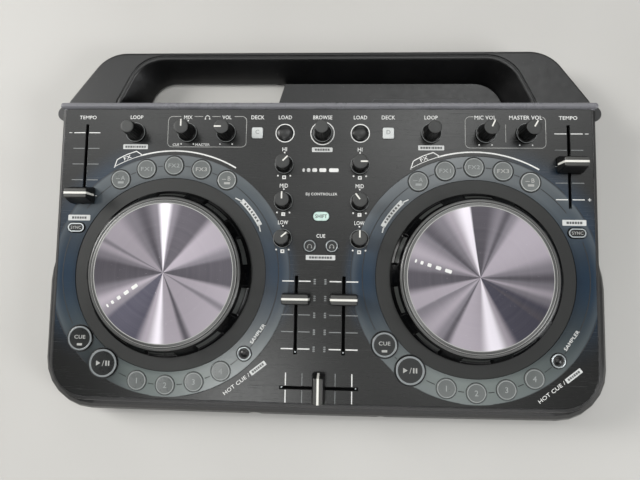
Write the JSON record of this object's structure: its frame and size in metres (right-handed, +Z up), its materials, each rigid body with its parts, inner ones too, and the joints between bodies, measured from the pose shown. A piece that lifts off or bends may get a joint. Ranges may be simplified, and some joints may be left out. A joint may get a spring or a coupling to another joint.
{
  "type": "dj controller",
  "caption": "Low two-deck DJ controller with jog wheels, sliding faders, rotary knobs, round keys and a rear carry handle.",
  "frame": {"origin": "centre of the footprint's bounding box on the table plane, under the rubber feet", "axes": "+X to the player's right, +Y away from the player towards the handle, +Z up"},
  "size_m": [0.3846, 0.256, 0.0432],
  "materials": {
    "case_plastic": "satin moulded",
    "panel_film": "printed satin sheet",
    "smoked_lens": "smoked translucent light guide",
    "handle_plastic": "satin moulded",
    "rubber": "matt",
    "screw_steel": "zinc plated",
    "circuit_board": "solder mask",
    "module_metal": "pressed tin plate",
    "switch_plastic": "moulded",
    "bushing_brass": "turned",
    "jack_plastic": "moulded",
    "jog_gloss_black": "piano gloss",
    "jog_aluminium": "spun radial finish",
    "cap_black": "satin with a white line",
    "knob_black": "soft touch",
    "key_smoke": "smoked translucent key",
    "button_dark": "dark key with a silver ring",
    "button_white": "milky translucent",
    "button_green": "milky pale green"
  },
  "bodies": {
    "chassis": {"lower_case": "case_plastic", "upper_case": "case_plastic", "top_panel": "panel_film", "light_rings": "smoked_lens", "handle_frame": "handle_plastic", "rubber_feet": "rubber", "case_screws": "screw_steel", "main_board": "circuit_board", "fader_modules": "module_metal", "rotary_modules": "module_metal", "tact_switches": "switch_plastic", "jog_bushings": "bushing_brass", "io_jacks": "jack_plastic"},
    "jog_left": {"jog_ring_left": "jog_gloss_black", "jog_plate_left": "jog_aluminium"},
    "jog_right": {"jog_ring_right": "jog_gloss_black", "jog_plate_right": "jog_aluminium"},
    "tempo_fader_left": {"tempo_cap_left": "cap_black"},
    "tempo_fader_right": {"tempo_cap_right": "cap_black"},
    "channel_fader_left": {"channel_cap_left": "cap_black"},
    "channel_fader_right": {"channel_cap_right": "cap_black"},
    "crossfader": {"crossfader_cap": "cap_black"},
    "loop_encoder_left": {"loop_knob_left": "knob_black"},
    "loop_encoder_right": {"loop_knob_right": "knob_black"},
    "browse_encoder": {"browse_knob": "knob_black"},
    "phones_mix": {"phones_mix_knob": "knob_black"},
    "phones_level": {"phones_level_knob": "knob_black"},
    "mic_level": {"mic_level_knob": "knob_black"},
    "master_level": {"master_level_knob": "knob_black"},
    "eq_high_left": {"eq_high_knob_left": "knob_black"},
    "eq_mid_left": {"eq_mid_knob_left": "knob_black"},
    "eq_low_left": {"eq_low_knob_left": "knob_black"},
    "eq_high_right": {"eq_high_knob_right": "knob_black"},
    "eq_mid_right": {"eq_mid_knob_right": "knob_black"},
    "eq_low_right": {"eq_low_knob_right": "knob_black"},
    "fx_key_set_left": {"fx_keys_left": "key_smoke"},
    "pad_1_left_key": {"pad_1_left": "key_smoke"},
    "pad_2_left_key": {"pad_2_left": "key_smoke"},
    "pad_3_left_key": {"pad_3_left": "key_smoke"},
    "pad_4_left_key": {"pad_4_left": "key_smoke"},
    "play_left_key": {"play_button_left": "button_dark"},
    "cue_left_key": {"cue_button_left": "button_dark"},
    "sampler_left_key": {"sampler_button_left": "button_dark"},
    "sync_left_key": {"sync_button_left": "button_dark"},
    "monitor_left_key": {"monitor_button_left": "button_dark"},
    "load_left_key": {"load_button_left": "button_dark"},
    "deck_left_key": {"deck_button_left": "button_white"},
    "fx_key_set_right": {"fx_keys_right": "key_smoke"},
    "pad_1_right_key": {"pad_1_right": "key_smoke"},
    "pad_2_right_key": {"pad_2_right": "key_smoke"},
    "pad_3_right_key": {"pad_3_right": "key_smoke"},
    "pad_4_right_key": {"pad_4_right": "key_smoke"},
    "play_right_key": {"play_button_right": "button_dark"},
    "cue_right_key": {"cue_button_right": "button_dark"},
    "sampler_right_key": {"sampler_button_right": "button_dark"},
    "sync_right_key": {"sync_button_right": "button_dark"},
    "monitor_right_key": {"monitor_button_right": "button_dark"},
    "load_right_key": {"load_button_right": "button_dark"},
    "deck_right_key": {"deck_button_right": "button_white"},
    "shift_key": {"shift_button": "button_green"}
  },
  "joints": [
    {"name": "jog_left_spin", "type": "hinge", "parent": "chassis", "child": "jog_left", "pos_m": [-0.10304, -0.03204, 0.028], "axis": [0, 0, 1], "continuous": true},
    {"name": "jog_right_spin", "type": "hinge", "parent": "chassis", "child": "jog_right", "pos_m": [0.10304, -0.03204, 0.028], "axis": [0, 0, 1], "continuous": true},
    {"name": "tempo_left_slide", "type": "slide", "parent": "chassis", "child": "tempo_fader_left", "axis": [0, 1, 0], "range_m": [0, 0.045]},
    {"name": "tempo_right_slide", "type": "slide", "parent": "chassis", "child": "tempo_fader_right", "axis": [0, 1, 0], "range_m": [-0.0234, 0.0216]},
    {"name": "channel_left_slide", "type": "slide", "parent": "chassis", "child": "channel_fader_left", "axis": [0, 1, 0], "range_m": [-0.0331, 0.0119]},
    {"name": "channel_right_slide", "type": "slide", "parent": "chassis", "child": "channel_fader_right", "axis": [0, 1, 0], "range_m": [-0.0331, 0.0119]},
    {"name": "crossfader_slide", "type": "slide", "parent": "chassis", "child": "crossfader", "axis": [1, 0, 0], "range_m": [-0.0225, 0.0225]},
    {"name": "loop_left_turn", "type": "hinge", "parent": "chassis", "child": "loop_encoder_left", "pos_m": [-0.1312, 0.06616, 0.028], "axis": [0, 0, 1], "continuous": true},
    {"name": "loop_right_turn", "type": "hinge", "parent": "chassis", "child": "loop_encoder_right", "pos_m": [0.0744, 0.06616, 0.028], "axis": [0, 0, 1], "continuous": true},
    {"name": "browse_turn", "type": "hinge", "parent": "chassis", "child": "browse_encoder", "pos_m": [0, 0.06616, 0.028], "axis": [0, 0, 1], "continuous": true},
    {"name": "phones_mix_turn", "type": "hinge", "parent": "chassis", "child": "phones_mix", "pos_m": [-0.0945, 0.06616, 0.028], "axis": [0, 0, 1], "range_deg": [-150, 150]},
    {"name": "phones_level_turn", "type": "hinge", "parent": "chassis", "child": "phones_level", "pos_m": [-0.0671, 0.06616, 0.028], "axis": [0, 0, 1], "range_deg": [-240, 60]},
    {"name": "mic_level_turn", "type": "hinge", "parent": "chassis", "child": "mic_level", "pos_m": [0.11105, 0.06616, 0.028], "axis": [0, 0, 1], "range_deg": [-125, 175]},
    {"name": "master_level_turn", "type": "hinge", "parent": "chassis", "child": "master_level", "pos_m": [0.13815, 0.06616, 0.028], "axis": [0, 0, 1], "range_deg": [-120, 180]},
    {"name": "eq_high_left_turn", "type": "hinge", "parent": "chassis", "child": "eq_high_left", "pos_m": [-0.026, 0.04375, 0.028], "axis": [0, 0, 1], "range_deg": [-105, 195]},
    {"name": "eq_mid_left_turn", "type": "hinge", "parent": "chassis", "child": "eq_mid_left", "pos_m": [-0.026, 0.0182, 0.028], "axis": [0, 0, 1], "range_deg": [-150, 150]},
    {"name": "eq_low_left_turn", "type": "hinge", "parent": "chassis", "child": "eq_low_left", "pos_m": [-0.026, -0.0072, 0.028], "axis": [0, 0, 1], "range_deg": [-100, 200]},
    {"name": "eq_high_right_turn", "type": "hinge", "parent": "chassis", "child": "eq_high_right", "pos_m": [0.026, 0.04375, 0.028], "axis": [0, 0, 1], "range_deg": [-60, 240]},
    {"name": "eq_mid_right_turn", "type": "hinge", "parent": "chassis", "child": "eq_mid_right", "pos_m": [0.026, 0.0182, 0.028], "axis": [0, 0, 1], "range_deg": [-188, 112]},
    {"name": "eq_low_right_turn", "type": "hinge", "parent": "chassis", "child": "eq_low_right", "pos_m": [0.026, -0.0072, 0.028], "axis": [0, 0, 1], "range_deg": [-150, 150]},
    {"name": "fx_keys_left_press", "type": "slide", "parent": "chassis", "child": "fx_key_set_left", "axis": [0, 0, -1], "range_m": [0, 0.0006]},
    {"name": "pad_1_left_press", "type": "slide", "parent": "chassis", "child": "pad_1_left_key", "axis": [0, 0, -1], "range_m": [0, 0.0008]},
    {"name": "pad_2_left_press", "type": "slide", "parent": "chassis", "child": "pad_2_left_key", "axis": [0, 0, -1], "range_m": [0, 0.0008]},
    {"name": "pad_3_left_press", "type": "slide", "parent": "chassis", "child": "pad_3_left_key", "axis": [0, 0, -1], "range_m": [0, 0.0008]},
    {"name": "pad_4_left_press", "type": "slide", "parent": "chassis", "child": "pad_4_left_key", "axis": [0, 0, -1], "range_m": [0, 0.0008]},
    {"name": "play_left_press", "type": "slide", "parent": "chassis", "child": "play_left_key", "axis": [0, 0, -1], "range_m": [0, 0.0008]},
    {"name": "cue_left_press", "type": "slide", "parent": "chassis", "child": "cue_left_key", "axis": [0, 0, -1], "range_m": [0, 0.0008]},
    {"name": "sampler_left_press", "type": "slide", "parent": "chassis", "child": "sampler_left_key", "axis": [0, 0, -1], "range_m": [0, 0.0008]},
    {"name": "sync_left_press", "type": "slide", "parent": "chassis", "child": "sync_left_key", "axis": [0, 0, -1], "range_m": [0, 0.0008]},
    {"name": "monitor_left_press", "type": "slide", "parent": "chassis", "child": "monitor_left_key", "axis": [0, 0, -1], "range_m": [0, 0.0008]},
    {"name": "load_left_press", "type": "slide", "parent": "chassis", "child": "load_left_key", "axis": [0, 0, -1], "range_m": [0, 0.0008]},
    {"name": "deck_left_press", "type": "slide", "parent": "chassis", "child": "deck_left_key", "axis": [0, 0, -1], "range_m": [0, 0.0008]},
    {"name": "fx_keys_right_press", "type": "slide", "parent": "chassis", "child": "fx_key_set_right", "axis": [0, 0, -1], "range_m": [0, 0.0006]},
    {"name": "pad_1_right_press", "type": "slide", "parent": "chassis", "child": "pad_1_right_key", "axis": [0, 0, -1], "range_m": [0, 0.0008]},
    {"name": "pad_2_right_press", "type": "slide", "parent": "chassis", "child": "pad_2_right_key", "axis": [0, 0, -1], "range_m": [0, 0.0008]},
    {"name": "pad_3_right_press", "type": "slide", "parent": "chassis", "child": "pad_3_right_key", "axis": [0, 0, -1], "range_m": [0, 0.0008]},
    {"name": "pad_4_right_press", "type": "slide", "parent": "chassis", "child": "pad_4_right_key", "axis": [0, 0, -1], "range_m": [0, 0.0008]},
    {"name": "play_right_press", "type": "slide", "parent": "chassis", "child": "play_right_key", "axis": [0, 0, -1], "range_m": [0, 0.0008]},
    {"name": "cue_right_press", "type": "slide", "parent": "chassis", "child": "cue_right_key", "axis": [0, 0, -1], "range_m": [0, 0.0008]},
    {"name": "sampler_right_press", "type": "slide", "parent": "chassis", "child": "sampler_right_key", "axis": [0, 0, -1], "range_m": [0, 0.0008]},
    {"name": "sync_right_press", "type": "slide", "parent": "chassis", "child": "sync_right_key", "axis": [0, 0, -1], "range_m": [0, 0.0008]},
    {"name": "monitor_right_press", "type": "slide", "parent": "chassis", "child": "monitor_right_key", "axis": [0, 0, -1], "range_m": [0, 0.0008]},
    {"name": "load_right_press", "type": "slide", "parent": "chassis", "child": "load_right_key", "axis": [0, 0, -1], "range_m": [0, 0.0008]},
    {"name": "deck_right_press", "type": "slide", "parent": "chassis", "child": "deck_right_key", "axis": [0, 0, -1], "range_m": [0, 0.0008]},
    {"name": "shift_press", "type": "slide", "parent": "chassis", "child": "shift_key", "axis": [0, 0, -1], "range_m": [0, 0.0008]}
  ]
}
